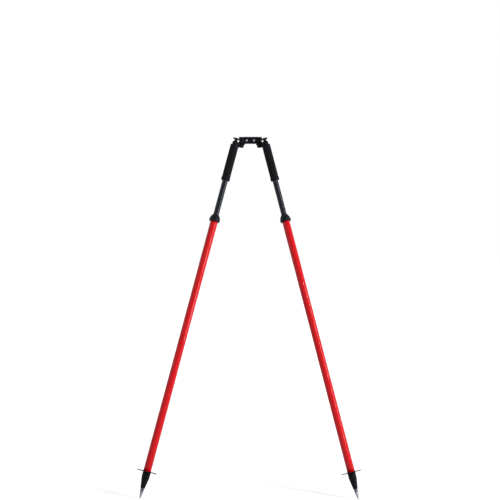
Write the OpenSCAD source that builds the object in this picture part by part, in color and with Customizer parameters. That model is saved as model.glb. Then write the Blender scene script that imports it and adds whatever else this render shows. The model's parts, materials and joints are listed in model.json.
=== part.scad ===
// Bipod for a surveyor's prism pole: a clamp head that grips the pole and two
// telescoping legs with thumb releases. Millimetres, +Z up the pole, origin in
// the middle of the pole clamp, legs towards the front (-Y).

/* [Pole clamp] */
// Diameter of the pole the clamp takes
pole_d = 32; // [26:0.5:38]
// Thickness of the rubber liner in the clamp
liner_t = 2; // [1:0.5:4]
// Wall of the clamp collar round the liner
collar_t = 4.5; // [3:0.5:8]
// Height of the clamp and of the head bar
clamp_h = 23.4; // [20:0.2:30]
// Slit at the back of the collar
split_gap = 3; // [2:0.5:5]
// Thickness of each pinch ear
ear_t = 7; // [5:0.5:10]
// Height of the pinch ears
ear_h = 17; // [14:0.5:20]
// Diameter of the pinch stud
stud_d = 6; // [5:0.5:8]
// Diameter of the pinch knob
knob_d = 22; // [16:0.5:23]
// Length of the pinch knob
knob_len = 14; // [10:0.5:20]
// Gap between the knob and the collar
knob_gap = 0.6; // [0.4:0.1:4]
// Number of finger flutes in the knob
knob_flutes = 6; // [4:1:9]

/* [Head bar] */
// Width of the full height middle of the bar
bar_w = 37.2; // [34:0.2:50]
// Depth of the bar from front to back
bar_t = 12; // [9:0.5:18]
// Thickness of the pad between the collar and the bar
pad_t = 1.5; // [1:0.5:4]
// Distance of each bar screw from the end of the middle
screw_inset = 6.6; // [5.5:0.1:10]
// Diameter of the bar screws
screw_d = 4; // [3:0.5:5]
// Diameter of the bar screw heads
screw_head_d = 7; // [6:0.2:8.4]
// Gap between the middle of the bar and each swivel boss
boss_gap = 1.7; // [1.5:0.1:8]
// Diameter of the swivel bosses at the bar ends
boss_d = 18.4; // [16:0.2:20]
// Height of the underside of the bosses
boss_low = -2; // [-4:0.5:2]
// Diameter of the swivel bolts
swivel_d = 7; // [6:0.5:8]
// Diameter of the swivel bolt heads
swivel_head_d = 12; // [10:0.5:13]

/* [Knuckle] */
// Drop from the clamp middle to the hinge bolt
pin_drop = 18.5; // [17:0.5:26]
// Diameter of the fork eyes
eye_d = 15; // [14:0.5:17]
// Width over the fork cheeks
fork_w = 16.4; // [15.6:0.2:18]
// Thickness of the lug between the cheeks
lug_t = 6; // [5:0.5:7]
// Diameter of the hinge bolts
hinge_d = 5; // [4:0.5:6]
// Direction of each leg, turned from sideways to the front
leg_turn = 45; // [30:1:60]
// Splay of each leg from upright
splay = 20.5; // [10:0.5:28]

/* [Leg head] */
// Distance from the hinge bolt to the socket of the leg head
lug_reach = 17.6; // [16.5:0.1:26]
// Wall of the leg head socket round the inner tube
socket_wall = 4.6; // [3.6:0.1:5.6]
// Length of the straight part of the socket
socket_len = 16; // [12:0.5:24]
// Height of the leg head above the socket
shoulder_h = 14; // [10:0.5:16]
// Height of the socket top below the hinge bolt
shoulder_low = 8.5; // [6:0.5:10]
// Diameter of the hub above the socket
hub_d = 19.2; // [17:0.2:24]
// Diameter of the hub at its top
shoulder_d = 13.4; // [12.4:0.2:16]
// Length of the sleeve inside the grip
sleeve_len = 24; // [16:1:40]
// Diameter of the thumb button
button_d = 22; // [18:0.5:24]
// Thickness of the thumb button
button_t = 3; // [2:0.5:5]
// Diameter of the button stem
stem_d = 10; // [8:0.5:10.5]
// Travel of the thumb button
button_travel = 5; // [3:0.5:6]

/* [Grip and inner tube] */
// Thickness of the hand grip round the inner tube
grip_t = 4.6; // [3.6:0.1:7]
// Length of the hand grip
grip_len = 109; // [80:1:140]
// Rise of the bead at the low end of the grip
bead_rise = 0.8; // [0.4:0.2:2]
// Length of the bead
bead_len = 9; // [5:0.5:14]
// Gap between the inner and the outer tube, on the radius
tube_gap = 1.7; // [0.6:0.1:2.4]
// Wall of the inner tube
inner_wall = 1.5; // [1:0.1:2]
// Length of inner tube in sight
shown = 121; // [40:0.5:300]

/* [Release] */
// Diameter of the release rod
rod_d = 6; // [5:0.5:7]
// Length of the return spring
spring_len = 30; // [20:1:50]
// Length of the clutch cone
cone_len = 20; // [16:1:26]
// Wall of the clutch cone at its small end
cone_wall = 0.6; // [0.4:0.1:1]
// Width of the clutch shoes
shoe_w = 9.6; // [8:0.2:11]
// Inward travel of each shoe
shoe_travel = 0.4; // [0.2:0.05:0.5]

/* [Outer tube] */
// Diameter of the outer tube
tube_d = 25.4; // [24:0.2:34]
// Wall of the outer tube
tube_wall = 1.6; // [1.2:0.1:2]
// Length of outer tube in sight
tube_len = 848; // [600:0.5:1200]
// Length of the guide collar
guide_len = 24.4; // [20:0.2:34]
// Thickness of the guide collar round the outer tube
guide_wall = 5.3; // [3:0.1:8]
// Length of the straight part of the guide collar
guide_lip = 9; // [4:0.5:14]

/* [Foot] */
// Diameter of the step plate
plate_d = 67; // [50:1:72]
// Thickness of the step plate
plate_t = 2.4; // [2:0.2:5]
// Step of the foot past the outer tube, on the radius
foot_rim = 0.3; // [0.1:0.1:3]
// Length of the straight part of the foot
foot_flat = 17; // [8:0.5:30]
// Length of the foot below the plate
foot_len = 53; // [40:0.5:80]
// Diameter of the foot at its low end
foot_low_d = 14.4; // [11.5:0.1:16]
// Length of the plug inside the tube
plug_len = 30; // [20:1:50]
// Step from the low end of the foot to the steel point, on the radius
point_step = 1.3; // [0.2:0.05:1.5]
// Length of the steel point in sight
point_len = 35.4; // [20:0.2:60]
// Length of the straight part of the steel point
point_flat = 13; // [4:0.5:16]
// Diameter of the flat at the end of the point
tip_d = 1.2; // [0.8:0.2:3]

/* [Hidden] */
$fn = 64;
// running clearance between turning or sliding pieces, on the radius
run = 0.06;
// clearance between pieces that sit still in one another, on the radius
seat = 0.04;
// clearance between faces that pass one another
pass = 0.3;
// overrun of cuts
over = 1;
// the two tubes, and what sits round them
inner_d = tube_d - 2 * (tube_wall + tube_gap);
socket_d = inner_d + 2 * socket_wall;
grip_d = inner_d + 2 * grip_t;
guide_d = tube_d + 2 * guide_wall;
foot_d = tube_d + 2 * foot_rim;
leg_off = socket_d / 2 + lug_reach;
// clamp
liner_r = pole_d / 2 + liner_t;
collar_r = liner_r + collar_t;
pad_y = collar_r + pad_t;
bar_front = pad_y + bar_t;
half_h = clamp_h / 2;
ear_x = split_gap / 2 + ear_t;
// nut in the left ear
nut_share = 1.9;
nut_d = nut_share * stud_d;
nut_h = 5;
nut_sunk = 3;
stud_past = 2;
washer_d = 13;
washer_t = 1.5;
washer_x = ear_x + pass;
knob_x = washer_x + washer_t + pass;
knob_hub = 3;
knob_hub_d = 13;
// the rim of the knob clears the round back of the collar
knob_rim_x = knob_x + knob_hub;
collar_back = sqrt(collar_r * collar_r - knob_rim_x * knob_rim_x);
stud_y = collar_back + knob_gap + knob_d / 2;
flute_share = 0.28;
flute_out_share = 0.58;
// bar screws
screw_x = bar_w / 2 - screw_inset;
screw_sunk = 3;
screw_proud = 1;
screw_bite = 4;
screw_key_d = 3.6;
screw_key_deep = 2;
// swivel
swivel_x = bar_w / 2 + boss_gap + boss_d / 2;
swivel_y = pad_y + bar_t / 2;
web_w = 11;
swivel_sunk = 4;
swivel_head_t = 3.4;
swivel_key_d = 5.4;
swivel_key_deep = 2;
swivel_washer_t = 1;
knuckle_top = boss_low - pass - swivel_washer_t;
swivel_step = 0.6;
swivel_thread_d = swivel_d - 2 * swivel_step;
lug_in = 0.7;
lug_r = eye_d / 2 - lug_in;
lug_gap = 1.5;
slot_r = lug_r + lug_gap;
slot_w = lug_t + 2 * pass;
thread_left = 0.8;
slot_rise = 24;
slot_reach = 40;
knuckle_r = boss_d / 2;
cheek_out = 1;
cheek_r = knuckle_r + cheek_out;
lobe_out = 0.3;
lobe_r = eye_d / 2 + lobe_out;
flare_out = 1.2;
flare_r = cheek_r + flare_out;
flare_top = -half_h - pass;
bolt_head_d = 8.4;
bolt_head_t = 1.8;
bolt_sunk = 3;
hinge_nut_t = 2.6;
// leg head
lug_low = 5.4;
lug_top_pin = 6;
lug_near = 10;
lug_top_near = 9.3;
lug_far = 23;
lug_top_far = 13.5;
shoulder_top = shoulder_h - shoulder_low;
hub_edge = 3;
ledge_rise = 1.5;
socket_low = -shoulder_low - socket_len;
sleeve_low = socket_low - sleeve_len;
sleeve_wall = 2;
sleeve_r = inner_d / 2 + sleeve_wall;
inner_sunk = 3;
inner_top = -shoulder_low - inner_sunk;
inner_bore = inner_d / 2 - inner_wall;
// thumb button
button_rest = 1.5;
button_low = shoulder_top + button_travel + button_rest;
stem_past = 4;
stem_low = inner_top - stem_past;
dish_deep = 0.8;
dish_share = 0.72;
// grip
grip_top = socket_low - seat;
grip_low = grip_top - grip_len;
// outer tube
guide_top = grip_low - shown;
guide_low = guide_top - guide_len;
tube_r = tube_d / 2;
tube_bore = tube_r - tube_wall;
guide_socket = 14;
tube_top = guide_low + guide_socket;
tube_low = guide_low - tube_len;
guide_neck = 1;
guide_neck_r = inner_d / 2 + guide_neck;
guide_belly = 1;
guide_mid_r = (guide_d / 2 + guide_neck_r) / 2 + guide_belly;
guide_half = (guide_len - guide_lip) / 2;
// foot
plate_low = tube_low - plate_t;
foot_low = plate_low - foot_len;
tip_low = foot_low - point_len;
point_d = foot_low_d - 2 * point_step;
shank_d = 7;
shank_len = 26;
rivet_d = 4;
rivet_up = 22;
rivet_turn = 45;
// release
end_gap = 22;
clutch_low = tube_low + plug_len + shown + end_gap;
shoe_past = 2;
shoe_len = cone_len + 2 * shoe_past;
clutch_end = 12;
clutch_high = 10;
clutch_top = clutch_low + clutch_end + shoe_len + clutch_high;
inner_low = clutch_top;
spigot_len = 16;
clutch_r = inner_d / 2;
shoe_in = shoe_travel + pass;
cone_slope = shoe_travel / button_travel;
cone_d = rod_d + 2 * cone_wall;
cone_wide = cone_d + 2 * cone_len * cone_slope;
cavity_gap = 1;
cavity_r = cone_wide / 2 + cavity_gap;
shoe_low = clutch_low + clutch_end;
cone_low = shoe_low + shoe_past;
rod_past = 4;
rod_low = cone_low - rod_past;
flange_t = 2.5;
flange_drop = 4;
flange_top = stem_low - flange_drop;
flange_gap = 0.7;
flange_r = inner_bore - flange_gap;
spring_top = flange_top - flange_t - seat;
spring_low = spring_top - spring_len;
spring_in = 0.3;
spring_r = flange_r - spring_in;
spring_wire = 1.4;
spring_seat_t = 6;
black = [0.09, 0.09, 0.11];
rubber = [0.13, 0.13, 0.14];
steel = [0.62, 0.65, 0.69];
red = [0.8, 0.02, 0.06];
brass = [0.74, 0.6, 0.3];
nylon = [0.85, 0.84, 0.8];

// places children at the swivel of one side: x outward along the leg, z up
module on_swivel(side) {
    mirror([side < 0 ? 1 : 0, 0, 0])
        translate([swivel_x, -swivel_y, 0])
            rotate([0, 0, -leg_turn])
                children();
}

// places children on the hinge bolt of one leg, tilted with the leg
module on_hinge(side) {
    on_swivel(side)
        translate([0, 0, -pin_drop])
            rotate([0, -splay, 0])
                children();
}

// places children on the axis of one leg
module on_leg(side) {
    on_hinge(side)
        translate([leg_off, 0, 0])
            children();
}

// round bar along z between two heights
module rod_z(r, low, high) {
    translate([0, 0, low])
        cylinder(r = r, h = high - low);
}

// sleeve along z between two heights
module sleeve_z(r_out, r_in, low, high) {
    difference() {
        rod_z(r_out, low, high);
        rod_z(r_in, low - over, high + over);
    }
}

// upright bar over a cone that narrows to a ball round the hinge bolt
module lobe() {
    rod_z(cheek_r, flare_top, knuckle_top);
    translate([0, 0, -pin_drop]) {
        sphere(r = lobe_r);
        cylinder(r1 = lobe_r, r2 = flare_r, h = pin_drop + flare_top);
    }
}

// round bar along x between two places
module rod_x(r, low, high) {
    rotate([0, 90, 0])
        rod_z(r, low, high);
}

// round bar along y between two places
module rod_y(r, low, high) {
    rotate([-90, 0, 0])
        rod_z(r, low, high);
}

// flat plate across y, drawn in x and z
module slab_y(w) {
    rotate([90, 0, 0])
        linear_extrude(height = w, center = true)
            children();
}

// repeats children at the two bar screws
module at_screws() {
    for (s = [-1, 1])
        translate([s * screw_x, 0, 0])
            children();
}

// split collar that closes on the pole, with pinch ears at the back
module clamp_collar() {
    color(black)
        difference() {
            union() {
                rod_z(collar_r, -half_h, half_h);
                translate([-bar_w / 2, -pad_y, -half_h])
                    cube([bar_w, pad_y, clamp_h]);
                translate([-ear_x, 0, -ear_h / 2])
                    cube([2 * ear_x, stud_y, ear_h]);
                translate([0, stud_y, 0])
                    rod_x(ear_h / 2, -ear_x, ear_x);
            }
            rod_z(liner_r + seat, -half_h - over, half_h + over);
            translate([-split_gap / 2, 0, -half_h - over])
                cube([split_gap, stud_y + ear_h, clamp_h + 2 * over]);
            translate([0, stud_y, 0])
                rod_x(stud_d / 2 + pass, -ear_x - over, ear_x + over);
            translate([-ear_x - over, stud_y, 0])
                rotate([0, 90, 0])
                    cylinder(r = nut_d / 2 + seat, h = nut_sunk + over, $fn = 6);
            at_screws()
                rod_y(screw_d / 2 + seat, -pad_y - over, -pad_y + screw_bite + over);
        }
}

// soft lining of the collar, split with it
module pole_liner() {
    color(rubber)
        difference() {
            sleeve_z(liner_r, pole_d / 2, -half_h, half_h);
            translate([-split_gap / 2, 0, -half_h - over])
                cube([split_gap, collar_r, clamp_h + 2 * over]);
        }
}

// cast bar across the front, with a swivel boss at each end
module head_bar() {
    color(black)
        difference() {
            union() {
                translate([-bar_w / 2, -bar_front, -half_h])
                    cube([bar_w, bar_t, clamp_h]);
                for (s = [-1, 1])
                    translate([s * swivel_x, -swivel_y, 0])
                        rod_z(boss_d / 2, boss_low, half_h);
                translate([-swivel_x, -swivel_y - web_w / 2, boss_low])
                    cube([2 * swivel_x, web_w, half_h - boss_low]);
            }
            for (s = [-1, 1])
                translate([s * swivel_x, -swivel_y, 0]) {
                    rod_z(swivel_d / 2 + run, boss_low - over, half_h + over);
                    rod_z(swivel_head_d / 2 + pass, half_h - swivel_sunk, half_h + over);
                }
            at_screws() {
                rod_y(screw_d / 2 + seat, -bar_front - over, -pad_y + over);
                rod_y(screw_head_d / 2 + seat, -bar_front - over, -bar_front + screw_sunk);
            }
        }
}

// two socket screws that hold the bar to the collar
module bar_screws() {
    color(steel)
        at_screws()
            difference() {
                union() {
                    rod_y(screw_head_d / 2, -bar_front - screw_proud, -bar_front + screw_sunk);
                    rod_y(screw_d / 2, -bar_front + screw_sunk, -pad_y + screw_bite);
                }
                translate([0, -bar_front - screw_proud - over, 0])
                    rotate([-90, 0, 0])
                        cylinder(r = screw_key_d / 2, h = screw_key_deep + over, $fn = 6);
            }
}

// hexagon nut held in the left pinch ear
module clamp_nut() {
    color(brass)
        translate([-ear_x + nut_sunk - nut_h, stud_y, 0])
            difference() {
                rotate([0, 90, 0])
                    cylinder(r = nut_d / 2, h = nut_h, $fn = 6);
                rod_x(stud_d / 2 + run, -over, nut_h + over);
            }
}

// plain washer that the knob pushes against
module clamp_washer() {
    color(steel)
        translate([0, stud_y, 0])
            difference() {
                rod_x(washer_d / 2, washer_x, washer_x + washer_t);
                rod_x(stud_d / 2 + run, washer_x - over, washer_x + washer_t + over);
            }
}

// threaded stud moulded into the knob
module clamp_stud() {
    color(steel)
        translate([0, stud_y, 0])
            rod_x(stud_d / 2, -ear_x + nut_sunk - nut_h - stud_past, knob_x + knob_len - knob_hub);
}

// fluted knob that pinches the collar
module clamp_knob() {
    color(black)
        translate([knob_x, stud_y, 0])
            difference() {
                union() {
                    rod_x(knob_hub_d / 2, 0, knob_len);
                    rod_x(knob_d / 2, knob_hub, knob_len);
                }
                rod_x(stud_d / 2 + seat, -over, knob_len - knob_hub);
                for (i = [0 : knob_flutes - 1])
                    rotate([i * 360 / knob_flutes, 0, 0])
                        translate([0, 0, knob_d * flute_out_share])
                            rod_x(knob_d * flute_share / 2, knob_hub - over, knob_len + over);
            }
}

// swivel fork that hangs under the boss and carries the hinge bolt
module knuckle(side) {
    color(black)
        on_swivel(side)
            difference() {
                union() {
                    rod_z(knuckle_r, -pin_drop + slot_r, knuckle_top);
                    intersection() {
                        lobe();
                        translate([0, 0, -pin_drop])
                            union() {
                                rod_y(eye_d / 2, -fork_w / 2, fork_w / 2);
                                translate([-eye_d / 2, -fork_w / 2, 0])
                                    cube([eye_d, fork_w, pin_drop + knuckle_top]);
                            }
                    }
                }
                rod_z(swivel_thread_d / 2 + seat, -pin_drop, knuckle_top + over);
                translate([0, 0, -pin_drop]) {
                    slab_y(slot_w)
                        polygon([[-slot_reach, slot_r], [0, slot_r],
                                 [slot_reach, slot_r + slot_reach * tan(slot_rise)],
                                 [slot_reach, -slot_reach], [-slot_reach, -slot_reach]]);
                    rod_y(hinge_d / 2 + seat, -fork_w, fork_w);
                    rod_y(bolt_head_d / 2 + seat, -fork_w, -fork_w / 2 + bolt_sunk);
                    translate([0, fork_w / 2 - bolt_sunk, 0])
                        rotate([-90, 0, 0])
                            cylinder(r = bolt_head_d / 2 + seat, h = fork_w, $fn = 6);
                }
            }
}

// shoulder bolt that the knuckle turns on
module swivel_bolt(side) {
    color(steel)
        on_swivel(side)
            difference() {
                union() {
                    rod_z(swivel_head_d / 2, half_h - swivel_sunk + pass,
                          half_h - swivel_sunk + pass + swivel_head_t);
                    rod_z(swivel_d / 2, knuckle_top, half_h - swivel_sunk + pass);
                    rod_z(swivel_thread_d / 2, -pin_drop + slot_r + thread_left, knuckle_top);
                }
                translate([0, 0, half_h - swivel_sunk + pass + swivel_head_t - swivel_key_deep])
                    cylinder(r = swivel_key_d / 2, h = swivel_key_deep + over, $fn = 6);
            }
}

// thin washer between boss and knuckle
module swivel_washer(side) {
    color(black)
        on_swivel(side)
            sleeve_z(knuckle_r - pass, swivel_d / 2 + seat, knuckle_top, knuckle_top + swivel_washer_t);
}

// bolt through the fork that the leg hinges on
module hinge_bolt(side) {
    color(steel)
        on_swivel(side)
            translate([0, 0, -pin_drop]) {
                rod_y(bolt_head_d / 2, -fork_w / 2 + bolt_sunk - bolt_head_t, -fork_w / 2 + bolt_sunk);
                rod_y(hinge_d / 2, -fork_w / 2 + bolt_sunk, fork_w / 2 - bolt_sunk + hinge_nut_t);
            }
}

// hexagon nut on the hinge bolt
module hinge_nut(side) {
    color(steel)
        on_swivel(side)
            translate([0, fork_w / 2 - bolt_sunk, -pin_drop])
                difference() {
                    rotate([-90, 0, 0])
                        cylinder(r = bolt_head_d / 2, h = hinge_nut_t, $fn = 6);
                    rod_y(hinge_d / 2 + seat, -over, hinge_nut_t + over);
                }
}

// cast leg head: hinge lug, socket for the inner tube and narrower hub above it
module leg_head(side) {
    color(black)
        on_hinge(side)
            difference() {
                union() {
                    slab_y(lug_t)
                        union() {
                            circle(r = lug_r);
                            rotate(-splay)
                                polygon([[0, -lug_low], [0, lug_top_pin], [lug_near, lug_top_near],
                                         [lug_far, lug_top_far], [leg_off, lug_top_far],
                                         [leg_off, -lug_low]]);
                        }
                    translate([leg_off, 0, 0]) {
                        rod_z(socket_d / 2, socket_low, -shoulder_low);
                        rod_z(sleeve_r, sleeve_low, socket_low);
                        rod_z(hub_d / 2, -shoulder_low, shoulder_top - hub_edge);
                        translate([0, 0, -shoulder_low])
                            cylinder(r1 = socket_d / 2, r2 = hub_d / 2, h = ledge_rise);
                        translate([0, 0, shoulder_top - hub_edge])
                            cylinder(r1 = hub_d / 2, r2 = shoulder_d / 2, h = hub_edge);
                    }
                }
                rod_y(hinge_d / 2 + run, -lug_t, lug_t);
                translate([leg_off, 0, 0]) {
                    rod_z(inner_d / 2 + seat, sleeve_low - over, inner_top + seat);
                    rod_z(stem_d / 2 + run, inner_top, shoulder_top + over);
                }
            }
}

// rubber hand grip with a bead at its low end
module grip(side) {
    color(rubber)
        on_leg(side)
            difference() {
                union() {
                    rod_z(grip_d / 2, grip_low, grip_top);
                    rod_z(grip_d / 2 + bead_rise, grip_low, grip_low + bead_len);
                }
                rod_z(inner_d / 2 + seat, grip_low - over, grip_top + over);
                rod_z(sleeve_r + seat, sleeve_low - seat, grip_top + over);
            }
}

// black inner tube, fixed in the leg head
module inner_tube(side) {
    color(black)
        on_leg(side)
            sleeve_z(inner_d / 2, inner_bore, inner_low, inner_top);
}

// bush in the inner tube that the return spring stands on
module spring_seat(side) {
    color(brass)
        on_leg(side)
            sleeve_z(inner_bore - seat, rod_d / 2 + run, spring_low - seat - spring_seat_t,
                     spring_low - seat);
}

// plug at the low end of the inner tube with windows for the shoes
module clutch_body(side) {
    color(brass)
        on_leg(side)
            difference() {
                union() {
                    rod_z(clutch_r, clutch_low, clutch_top - seat);
                    rod_z(inner_bore - seat, clutch_top - seat, clutch_top + spigot_len);
                }
                rod_z(rod_d / 2 + run, clutch_low - over, clutch_top + spigot_len + over);
                rod_z(cavity_r, clutch_low - over, clutch_top - clutch_high);
                translate([-shoe_w / 2 - pass, -tube_d, shoe_low - pass])
                    cube([shoe_w + 2 * pass, 2 * tube_d, shoe_len + 2 * pass]);
            }
}

// round thumb button on its stem
module thumb_button(side) {
    color(black)
        on_leg(side)
            difference() {
                union() {
                    rod_z(button_d / 2, button_low, button_low + button_t);
                    rod_z(stem_d / 2, stem_low, button_low);
                }
                translate([0, 0, button_low + button_t - dish_deep])
                    cylinder(r1 = button_d * dish_share / 4, r2 = button_d * dish_share / 2,
                             h = dish_deep + seat);
                rod_z(rod_d / 2 + seat, stem_low - over, button_low);
            }
}

// long push rod with the spring flange, down to the clutch
module release_rod(side) {
    color(steel)
        on_leg(side) {
            rod_z(rod_d / 2, rod_low, button_low - seat);
            rod_z(flange_r, flange_top - flange_t, flange_top);
        }
}

// cone on the rod that spreads the shoes, wide end down
module clutch_cone(side) {
    color(brass)
        on_leg(side)
            difference() {
                translate([0, 0, cone_low])
                    cylinder(r1 = cone_wide / 2, r2 = cone_d / 2, h = cone_len);
                rod_z(rod_d / 2 + seat, cone_low - over, cone_low + cone_len + over);
            }
}

// return spring round the rod, drawn as a plain sleeve
module return_spring(side) {
    color(steel)
        on_leg(side)
            sleeve_z(spring_r, spring_r - spring_wire, spring_low, spring_top);
}

// clutch shoe that bears on the bore of the outer tube
module shoe(side, way) {
    color(nylon)
        on_leg(side)
            difference() {
                intersection() {
                    rod_z(tube_bore - run, shoe_low, shoe_low + shoe_len);
                    translate([-shoe_w / 2, way > 0 ? shoe_in : -tube_d, shoe_low])
                        cube([shoe_w, tube_d - shoe_in, shoe_len]);
                }
                translate([0, 0, shoe_low - over])
                    cylinder(r1 = cone_wide / 2 + (shoe_past + over) * cone_slope + run,
                             r2 = cone_d / 2 + run, h = over + shoe_past + cone_len);
                rod_z(cone_d / 2 + run, cone_low + cone_len - over, shoe_low + shoe_len + over);
            }
}

// round bar across the tube and plug, where the rivet sits
module rivet_bar(r, reach) {
    translate([0, 0, tube_low + rivet_up])
        rotate([0, 0, -rivet_turn])
            rod_y(r, -reach, reach);
}

// red outer tube that slides on the inner tube
module outer_tube(side) {
    color(red)
        on_leg(side)
            difference() {
                sleeve_z(tube_r, tube_bore, tube_low, tube_top);
                rivet_bar(rivet_d / 2 + seat, tube_d);
            }
}

// bell shaped guide collar on top of the outer tube
module guide_collar(side) {
    color(black)
        on_leg(side)
            difference() {
                union() {
                    rod_z(guide_d / 2, guide_low, guide_low + guide_lip);
                    translate([0, 0, guide_low + guide_lip])
                        cylinder(r1 = guide_d / 2, r2 = guide_mid_r, h = guide_half);
                    translate([0, 0, guide_top - guide_half])
                        cylinder(r1 = guide_mid_r, r2 = guide_neck_r, h = guide_half);
                }
                rod_z(inner_d / 2 + run, guide_low - over, guide_top + over);
                rod_z(tube_r + seat, guide_low - over, tube_top + seat);
            }
}

// black foot with a plug inside the tube
module foot(side) {
    color(black)
        on_leg(side)
            difference() {
                union() {
                    rod_z(tube_bore - seat, plate_low, tube_low + plug_len);
                    rod_z(foot_d / 2, plate_low - foot_flat, plate_low);
                    translate([0, 0, foot_low])
                        cylinder(r1 = foot_low_d / 2, r2 = foot_d / 2, h = foot_len - foot_flat);
                }
                rod_z(shank_d / 2 + seat, foot_low - over, foot_low + shank_len + seat);
                rivet_bar(rivet_d / 2 + seat, tube_d);
            }
}

// round step plate pinched between tube and foot
module step_plate(side) {
    color(black)
        on_leg(side)
            sleeve_z(plate_d / 2, tube_bore, plate_low, tube_low);
}

// rivet through tube and plug
module foot_rivet(side) {
    color(black)
        on_leg(side)
            rivet_bar(rivet_d / 2, tube_r);
}

// steel point with its shank in the foot
module steel_point(side) {
    color(steel)
        on_leg(side) {
            rod_z(shank_d / 2, foot_low, foot_low + shank_len);
            rod_z(point_d / 2, foot_low - point_flat, foot_low);
            translate([0, 0, tip_low])
                cylinder(r1 = tip_d / 2, r2 = point_d / 2, h = point_len - point_flat);
        }
}

clamp_collar();
pole_liner();
head_bar();
bar_screws();
clamp_nut();
clamp_washer();
clamp_stud();
clamp_knob();
knuckle(-1);  // left_knuckle
swivel_bolt(-1);  // left_swivel_bolt
swivel_washer(-1);  // left_swivel_washer
hinge_bolt(-1);  // left_hinge_bolt
hinge_nut(-1);  // left_hinge_nut
leg_head(-1);  // left_leg_head
grip(-1);  // left_grip
inner_tube(-1);  // left_inner_tube
spring_seat(-1);  // left_spring_seat
clutch_body(-1);  // left_clutch_body
thumb_button(-1);  // left_thumb_button
release_rod(-1);  // left_release_rod
clutch_cone(-1);  // left_clutch_cone
return_spring(-1);  // left_return_spring
shoe(-1, 1);  // left_shoe_a
shoe(-1, -1);  // left_shoe_b
outer_tube(-1);  // left_outer_tube
guide_collar(-1);  // left_guide_collar
foot(-1);  // left_foot
step_plate(-1);  // left_step_plate
foot_rivet(-1);  // left_foot_rivet
steel_point(-1);  // left_steel_point
knuckle(1);  // right_knuckle
swivel_bolt(1);  // right_swivel_bolt
swivel_washer(1);  // right_swivel_washer
hinge_bolt(1);  // right_hinge_bolt
hinge_nut(1);  // right_hinge_nut
leg_head(1);  // right_leg_head
grip(1);  // right_grip
inner_tube(1);  // right_inner_tube
spring_seat(1);  // right_spring_seat
clutch_body(1);  // right_clutch_body
thumb_button(1);  // right_thumb_button
release_rod(1);  // right_release_rod
clutch_cone(1);  // right_clutch_cone
return_spring(1);  // right_return_spring
shoe(1, 1);  // right_shoe_a
shoe(1, -1);  // right_shoe_b
outer_tube(1);  // right_outer_tube
guide_collar(1);  // right_guide_collar
foot(1);  // right_foot
step_plate(1);  // right_step_plate
foot_rivet(1);  // right_foot_rivet
steel_point(1);  // right_steel_point
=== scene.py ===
import json
import math

import bpy
from mathutils import Matrix, Vector


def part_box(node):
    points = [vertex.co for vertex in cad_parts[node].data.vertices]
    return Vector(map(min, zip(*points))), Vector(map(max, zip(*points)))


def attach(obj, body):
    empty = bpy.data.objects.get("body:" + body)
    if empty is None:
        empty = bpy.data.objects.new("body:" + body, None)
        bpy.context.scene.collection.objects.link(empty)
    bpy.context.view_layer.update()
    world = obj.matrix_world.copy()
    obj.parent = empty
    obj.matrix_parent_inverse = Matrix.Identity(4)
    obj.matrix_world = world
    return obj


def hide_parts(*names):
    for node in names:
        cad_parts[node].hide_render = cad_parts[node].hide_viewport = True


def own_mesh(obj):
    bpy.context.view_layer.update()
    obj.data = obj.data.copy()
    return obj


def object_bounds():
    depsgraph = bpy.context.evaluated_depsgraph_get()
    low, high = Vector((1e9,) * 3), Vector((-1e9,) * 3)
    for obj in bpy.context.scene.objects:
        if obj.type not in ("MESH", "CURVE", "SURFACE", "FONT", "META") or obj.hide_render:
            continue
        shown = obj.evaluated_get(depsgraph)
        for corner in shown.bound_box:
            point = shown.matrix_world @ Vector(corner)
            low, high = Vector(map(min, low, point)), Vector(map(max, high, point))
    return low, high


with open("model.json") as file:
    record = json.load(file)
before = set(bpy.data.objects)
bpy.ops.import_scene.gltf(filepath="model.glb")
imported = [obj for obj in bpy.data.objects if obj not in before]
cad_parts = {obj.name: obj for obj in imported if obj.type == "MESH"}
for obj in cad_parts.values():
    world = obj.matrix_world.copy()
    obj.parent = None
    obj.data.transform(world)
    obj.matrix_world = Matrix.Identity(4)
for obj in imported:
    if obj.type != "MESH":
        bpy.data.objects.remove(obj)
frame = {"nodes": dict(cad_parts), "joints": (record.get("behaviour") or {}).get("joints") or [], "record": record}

cad_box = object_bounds()

# Clamp collar
# A split ring cast in aluminium and painted black, with a flat pad for the bar
# in front and two ears at the back, which a stud pulls together.
mm = 0.001
weld = 0.01 * mm
fine_weld = 0.005 * mm
flat_angle = math.radians(0.5)
smooth_angle = math.radians(32)
joints = {joint["name"]: joint for joint in frame["joints"]}


def nothing_selected():
    """Leaves edit mode and deselects everything, so that operators act on new work alone."""
    if bpy.context.mode != "OBJECT":
        bpy.ops.object.mode_set(mode="OBJECT")
    bpy.ops.object.select_all(action="DESELECT")


def take_up(piece):
    """Selects one piece and makes it active."""
    nothing_selected()
    piece.select_set(True)
    bpy.context.view_layer.objects.active = piece


def settle():
    """Puts the place, turn and scale of what is selected into its mesh."""
    bpy.ops.object.transform_apply(location=True, rotation=True, scale=True)


def round_bar(radius, low, high, sides=96):
    """A cylinder between two points."""
    nothing_selected()
    along = Vector(high) - Vector(low)
    bpy.ops.mesh.primitive_cylinder_add(vertices=sides, radius=radius, depth=along.length,
                                        location=(Vector(low) + Vector(high)) / 2,
                                        rotation=along.to_track_quat("Z", "Y").to_euler())
    settle()
    return bpy.context.object


def block(low, high):
    """A box between two corners."""
    nothing_selected()
    low, high = Vector(low), Vector(high)
    bpy.ops.mesh.primitive_cube_add(size=1, location=(low + high) / 2, scale=high - low)
    settle()
    return bpy.context.object


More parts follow.
